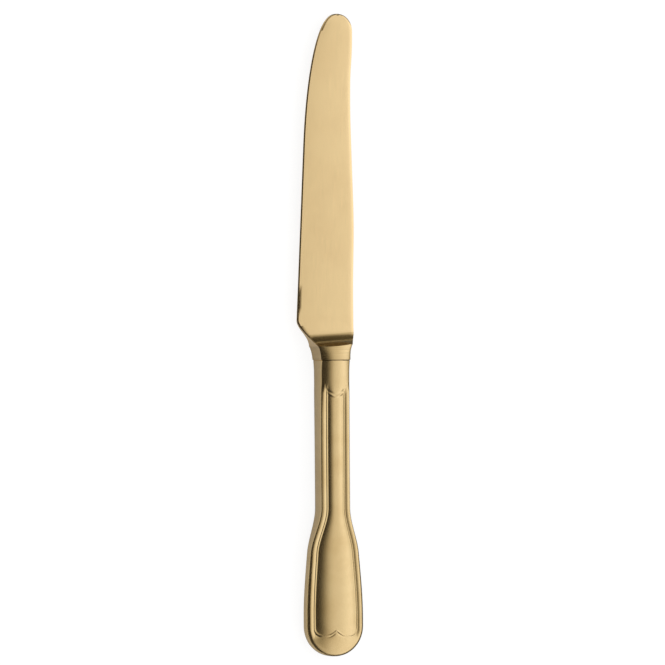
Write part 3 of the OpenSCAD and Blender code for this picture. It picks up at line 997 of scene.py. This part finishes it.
def mapped(tree, value, start=(0, 1), end=(0, 1)):
    """A value moved from one range to another."""
    ranges = zip(("From Min", "From Max", "To Min", "To Max"), (*start, *end))
    return add(tree, "ShaderNodeMapRange", {"Value": value, **dict(ranges)}).outputs["Result"]


def mixed(tree, a, b, factor=1.0, blend="MIX"):
    """Two colours mixed, each of them a socket or a plain colour."""
    inputs = {"A": a, "B": b, "Factor": factor}
    node = add(tree, "ShaderNodeMix", inputs, data_type="RGBA", blend_type=blend)
    return node.outputs["Result"]


def new_material(name):
    material = bpy.data.materials.new(name)
    material.use_nodes = True
    return material, material.node_tree


# %% [markdown]
# The grain has two parts: scratches, which are noise stretched along the rubbing, and
# clouds, which are noise at the size of a fingertip.

# %% Satin grain group
FINE_NOISE = {"Scale": 1.0, "Detail": 4.0, "Roughness": 0.65}
SOFT_NOISE = {"Detail": 3.0}


def satin_group():
    """Fine scratches, stretched by Stretch, and soft clouds."""
    group = bpy.data.node_groups.new("satin_grain", "ShaderNodeTree")
    for label, kind in (("Stretch", "NodeSocketVector"), ("Clouds", "NodeSocketFloat")):
        group.interface.new_socket(name=label, in_out="INPUT", socket_type=kind)
    for label in ("Scratches", "Cloud"):
        group.interface.new_socket(name=label, in_out="OUTPUT", socket_type="NodeSocketFloat")
    given = add(group, "NodeGroupInput").outputs
    spot = add(group, "ShaderNodeTexCoord").outputs["Object"]
    pair = {0: spot, 1: given["Stretch"]}
    stretched = add(group, "ShaderNodeVectorMath", pair, operation="MULTIPLY")
    fine = {"Vector": stretched.outputs["Vector"], **FINE_NOISE}
    scratches = add(group, "ShaderNodeTexNoise", fine)
    soft = {"Vector": spot, "Scale": given["Clouds"], **SOFT_NOISE}
    clouds = add(group, "ShaderNodeTexNoise", soft)
    result = {"Scratches": scratches.outputs["Fac"], "Cloud": clouds.outputs["Fac"]}
    add(group, "NodeGroupOutput", result)
    return group


satin = satin_group()
print("group:", satin.name)

# %% [markdown]
# A gilt surface is a metal whose colour wanders between two golds with the clouds.
# The scratches darken it in faint lines, roughen it and give it a very low bump. The
# dark seam is painted shade: the same metal made near black in the chamfers at the joint.

# %% Gilt materials
CLOUD_RANGE, LINE_RANGE, BUMP_DEPTH = (0.3, 0.6), (0.35, 0.65), 0.02 * MM
HANDLE_TONES = (0.71, 0.515, 0.25, 1), (0.77, 0.575, 0.295, 1)
BLADE_TONES = (0.88, 0.65, 0.345, 1), (0.92, 0.69, 0.37, 1)
JOINT_SHADE_TONES = (0.10, 0.07, 0.03, 1), (0.16, 0.11, 0.05, 1)


def gilt(name, tones, stretch, clouds, rough, spread, bump, lines=0.0):
    """A gilt metal. Tones are its deep and its light gold, lines how dark its streaks are."""
    material, tree = new_material(name)
    placed = {"Stretch": stretch, "Clouds": clouds}
    grain = add(tree, "ShaderNodeGroup", placed, node_tree=satin).outputs
    gold = mixed(tree, *tones, mapped(tree, grain["Cloud"], CLOUD_RANGE))
    streaks = mapped(tree, grain["Scratches"], LINE_RANGE, (1 - lines, 1))
    relief_values = {"Strength": bump, "Distance": BUMP_DEPTH, "Height": grain["Scratches"]}
    surface = {
        "Metallic": 1.0,
        "Base Color": mixed(tree, gold, streaks, blend="MULTIPLY"),
        "Roughness": mapped(tree, grain["Scratches"], end=(rough - spread, rough + spread)),
        "Normal": add(tree, "ShaderNodeBump", relief_values).outputs["Normal"],
    }
    feed(tree, tree.nodes["Principled BSDF"], surface)
    return material


blade_gilt = gilt(
    "gilt_blade_brushed", BLADE_TONES, stretch=(5200, 160, 5200), clouds=70,
    rough=0.25, spread=0.04, bump=0.2, lines=0.06,
)
collar_gilt = gilt(
    "gilt_collar_turned", HANDLE_TONES, stretch=(60, 2600, 60), clouds=90,
    rough=0.24, spread=0.04, bump=0.3, lines=0.16,
)
cove_gilt = gilt(
    "gilt_cove_polished", HANDLE_TONES, stretch=(60, 2600, 60), clouds=90,
    rough=0.2, spread=0.03, bump=0.1, lines=0.1,
)
handle_gilt = gilt(
    "gilt_handle_satin", HANDLE_TONES, stretch=(2600, 900, 2600), clouds=110,
    rough=0.25, spread=0.04, bump=0.12, lines=0.05,
)
# Painted shade: a near-black gilt that stands for the shade in the chamfers at the joint.
joint_shade_gilt = gilt(
    "gilt_joint_painted_shade", JOINT_SHADE_TONES, stretch=(900, 2600, 900), clouds=90,
    rough=0.45, spread=0.05, bump=0.2,
)
print("materials ready:", len(bpy.data.materials))

# %% [markdown]
# The cement inside is never seen, and no shape is drawn for it here: its CAD node is
# kept, and only gets a dull, grainy finish of its own.

# %% Cement material
CEMENT_TONES = (0.2, 0.19, 0.17, 1), (0.36, 0.35, 0.32, 1)
CEMENT_ROUGH = 0.9


def cement_material():
    material, tree = new_material("cement_grey")
    placed = {"Stretch": (900, 900, 900), "Clouds": 200}
    grain = add(tree, "ShaderNodeGroup", placed, node_tree=satin).outputs
    colour = mixed(tree, *CEMENT_TONES, grain["Scratches"])
    feed(tree, tree.nodes["Principled BSDF"], {"Roughness": CEMENT_ROUGH, "Base Color": colour})
    return material


cement = cement_material()
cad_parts["filler"].data.materials.clear()
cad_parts["filler"].data.materials.append(cement)
print("cement on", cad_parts["filler"].name)

# %% [markdown]
# The blade piece carries four finishes. Which one a face gets is read from its place
# and normal: the collar ends at the break, the cove is what looks towards the tip
# beyond it, and the dark line of painted shade is the chamfer at the joint. The shells have two.

# %% Give the pieces their materials
BLADE_FACES, COLLAR_FACES, COVE_FACES, JOINT_SHADE_FACES = range(4)
FACING = 0.3
for finish in (blade_gilt, collar_gilt, cove_gilt, joint_shade_gilt):
    blade_piece.data.materials.append(finish)


def face_table(piece, what):
    """Centres or normals of all faces, one row each."""
    table = np.zeros(3 * len(piece.data.polygons))
    piece.data.polygons.foreach_get(what, table)
    return table.reshape(-1, 3)


def give_finishes(piece, finishes):
    piece.data.polygons.foreach_set("material_index", finishes.astype(np.int32))


centers, normals = face_table(blade_piece, "center"), face_table(blade_piece, "normal")
x_mm, y_mm = (centers[:, 0] - axis_x) / MM, (centers[:, 1] - joint_y) / MM
beyond = np.where(normals[:, 1] > FACING, COVE_FACES, BLADE_FACES)
finishes = np.where(y_mm < collar_break(x_mm), COLLAR_FACES, beyond)
finishes[y_mm > COVE_AT] = BLADE_FACES
# The chamfer faces at the joint get the painted shade.
finishes[(y_mm < JOINT_LINE) & (np.abs(normals[:, 2]) > FACING)] = JOINT_SHADE_FACES
give_finishes(blade_piece, finishes)
for shell in (front_shell, back_shell):
    shell.data.materials.append(handle_gilt)
    shell.data.materials.append(joint_shade_gilt)
    centers, normals = face_table(shell, "center"), face_table(shell, "normal")
    at_joint = joint_y - centers[:, 1] < JOINT_LINE * MM
    # The shells' chamfer faces at the joint get the same painted shade.
    give_finishes(shell, at_joint & (np.abs(normals[:, 2]) > FACING))
print("faces of blade, collar, cove and seam:", np.bincount(finishes))

# %% [markdown]
# Each piece rides on the one body of the knife and stands for the CAD node whose form it refines.

# %% Ride and replace
for piece, node, slot in (
    (blade_piece, "blade", "blade_steel"),
    (front_shell, "handle_front", "handle_steel"),
    (back_shell, "handle_back", "handle_steel"),
):
    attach(piece, "root")
    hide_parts(node)
    print(piece.name, "stands for", node)

# %% [markdown]
# ## Studio
# The knife lies on a white sheet. Metal shows what is around it, so what it sees of
# the sheet and of the world matters more than its colour, and both are made apart
# from what the camera sees, which is plain white.

# %% Floor
FLOOR_SIZE, SHEET_GREY, SHEET_GLOW = 6, 0.25, 0.81
FLOOR_REACH, FLOOR_LEFT, FLOOR_RIGHT = 4 * MM, 0.58, 0.12


def floor_material():
    """Just white with a light shadow to the camera; to metal it shows painted shade, dimmer on the
    right.
    """
    material, tree = new_material("floor_white")
    tree.nodes.remove(tree.nodes["Principled BSDF"])
    sheet = add(tree, "ShaderNodeBsdfDiffuse", {"Color": (SHEET_GREY,) * 3 + (1,)})
    glow = add(tree, "ShaderNodeEmission", {"Strength": SHEET_GLOW})
    shaders = {0: sheet.outputs["BSDF"], 1: glow.outputs["Emission"]}
    lit = add(tree, "ShaderNodeAddShader", shaders).outputs["Shader"]
    spot = add(tree, "ShaderNodeTexCoord").outputs["Object"]
    x = add(tree, "ShaderNodeSeparateXYZ", {"Vector": spot}).outputs["X"]
    # The sheet's colour as metal sees it is painted shade: grey, darker towards the right.
    level = mapped(tree, x, (-FLOOR_REACH, FLOOR_REACH), (FLOOR_LEFT, FLOOR_RIGHT))
    shown = add(tree, "ShaderNodeBsdfDiffuse", {"Color": level}).outputs["BSDF"]
    glossy = add(tree, "ShaderNodeLightPath").outputs["Is Glossy Ray"]
    seen = add(tree, "ShaderNodeMixShader", {0: glossy, 1: lit, 2: shown})
    feed(tree, tree.nodes["Material Output"], {"Surface": seen.outputs["Shader"]})
    return material


bpy.ops.object.select_all(action="DESELECT")
bpy.ops.mesh.primitive_plane_add(size=FLOOR_SIZE, location=(0, 0, 0))
floor = bpy.context.object
floor.name = "studio_floor"
floor.data.materials.append(floor_material())
floor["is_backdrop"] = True
print("floor %d m wide" % FLOOR_SIZE)

# %% [markdown]
# The world is bright from overhead round to the right, and dim on the left, where the
# photo's dark strips come from. One ramp gives the light by its angle round the
# knife, in degrees from overhead to the right, and another by how far it comes from
# the tip's end. A weaker fill stands where the photo's view hardly sees it, and keeps
# the knife from going black from other sides.

# %% Light round the knife
SIDE_LIGHT = (
    (-180, 0.3), (-120, 0.08), (-60, 0.02), (-10, 0.02), (0, 0.34), (7, 0.64), (14, 0.84), (26, 0.96),
    (40, 1.16), (52, 1.3), (60, 1.12), (67, 0.45), (76, 0.36), (110, 0.34), (150, 0.3), (180, 0.3),
)
END_LIGHT = ((-1, 0.2), (-0.92, 0.35), (-0.8, 1), (0.45, 1), (0.64, 0.68), (0.74, 0.1), (1, 0.03))
SIDE_FILL = (
    (-180, 0), (-130, 0), (-105, 0.6), (-35, 0.6), (-15, 0),
    (65, 0), (80, 0.5), (110, 0.5), (130, 0), (180, 0),
)
END_FILL = ((-1, 0), (0.35, 0), (0.5, 0.8), (1, 0.8))
WARM_GREEN, WARM_BLUE = 1.07, 1.28
print("brightest at %d degrees" % max(SIDE_LIGHT, key=lambda mark: mark[1])[0])

# %% World
def light_ramp(tree, value, marks):
    """A colour ramp with light levels at the given places, warmer where it is dim."""
    node = add(tree, "ShaderNodeValToRGB", {"Fac": value})
    elements = node.color_ramp.elements
    elements[0].position, elements[1].position = marks[0][0], marks[-1][0]
    for position, _ in marks[1:-1]:
        elements.new(position)
    for element, (_, level) in zip(elements, marks):
        element.color = (level, level**WARM_GREEN, level**WARM_BLUE, 1)
    return node.outputs["Color"]


def studio_world():
    world = bpy.data.worlds.new("studio")
    bpy.context.scene.world = world
    world.use_nodes = True
    tree = world.node_tree
    spot = add(tree, "ShaderNodeTexCoord").outputs["Generated"]
    parts = add(tree, "ShaderNodeSeparateXYZ", {"Vector": spot}).outputs
    angle = add(tree, "ShaderNodeMath", {0: parts["X"], 1: parts["Z"]}, operation="ARCTAN2")
    turn = mapped(tree, angle.outputs["Value"], (-math.pi, math.pi))
    along = mapped(tree, parts["Y"], (-1, 1))

    def light(side_marks, end_marks):
        side = light_ramp(tree, turn, [(at / 360 + 0.5, level) for at, level in side_marks])
        end = light_ramp(tree, along, [(at / 2 + 0.5, level) for at, level in end_marks])
        return mixed(tree, side, end, blend="MULTIPLY")

    total = mixed(tree, light(SIDE_LIGHT, END_LIGHT), light(SIDE_FILL, END_FILL), blend="ADD")
    glossy = add(tree, "ShaderNodeLightPath").outputs["Is Glossy Ray"]
    seen = mixed(tree, (1, 1, 1, 1), total, glossy)
    feed(tree, tree.nodes["Background"], {"Color": seen})
    return world


print("world ready:", studio_world().name)

# %% [markdown]
# The camera looks from high above, turned 20 degrees to the left of the knife, with a
# long lens that keeps its two ends the same size. It is rolled by half a degree, as
# the knife in the photo doesn't stand quite upright.

# %% Camera
VIEW_WIDTH, DISTANCE, TURN, ROLL = 248.2, 2.4, 20.0, 0.47
AIM_RIGHT, AIM_UP, SENSOR, FAR = 0.38, 10.3, 36, 50


def studio_camera():
    data = bpy.data.cameras.new("camera")
    camera = bpy.data.objects.new("camera", data)
    bpy.context.scene.collection.objects.link(camera)
    turn, roll = math.radians(TURN), math.radians(ROLL)
    back = Vector((-math.sin(turn), 0, math.cos(turn)))
    up = Vector((math.sin(roll) * math.cos(turn), math.cos(roll), 0))
    right = up.cross(back).normalized()
    up = back.cross(right).normalized()
    aim = Vector((axis_x, joint_y, seam_z)) + right * AIM_RIGHT * MM + up * AIM_UP * MM
    camera.location = aim + back * DISTANCE
    rotation = np.array([right, up, back]).T
    camera.rotation_euler = Matrix(rotation.tolist()).to_euler()
    data.sensor_width = SENSOR
    data.lens = SENSOR * DISTANCE / (VIEW_WIDTH * MM)
    data.clip_end = FAR
    bpy.context.scene.camera = camera
    return camera


print("camera with a %.0f mm lens" % studio_camera().data.lens)
bpy.context.scene.view_settings.view_transform = "Standard"

# %% [markdown]
# Last, the box of the CAD model and the box of the visual one are shown side by side.
# The refined knife has to stay inside the plain one.

# %% Sizes and finish
def plain(box):
    return [[float(v) for v in corner] for corner in box]

{"cad": plain(cad_box), "visual": plain(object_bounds())}
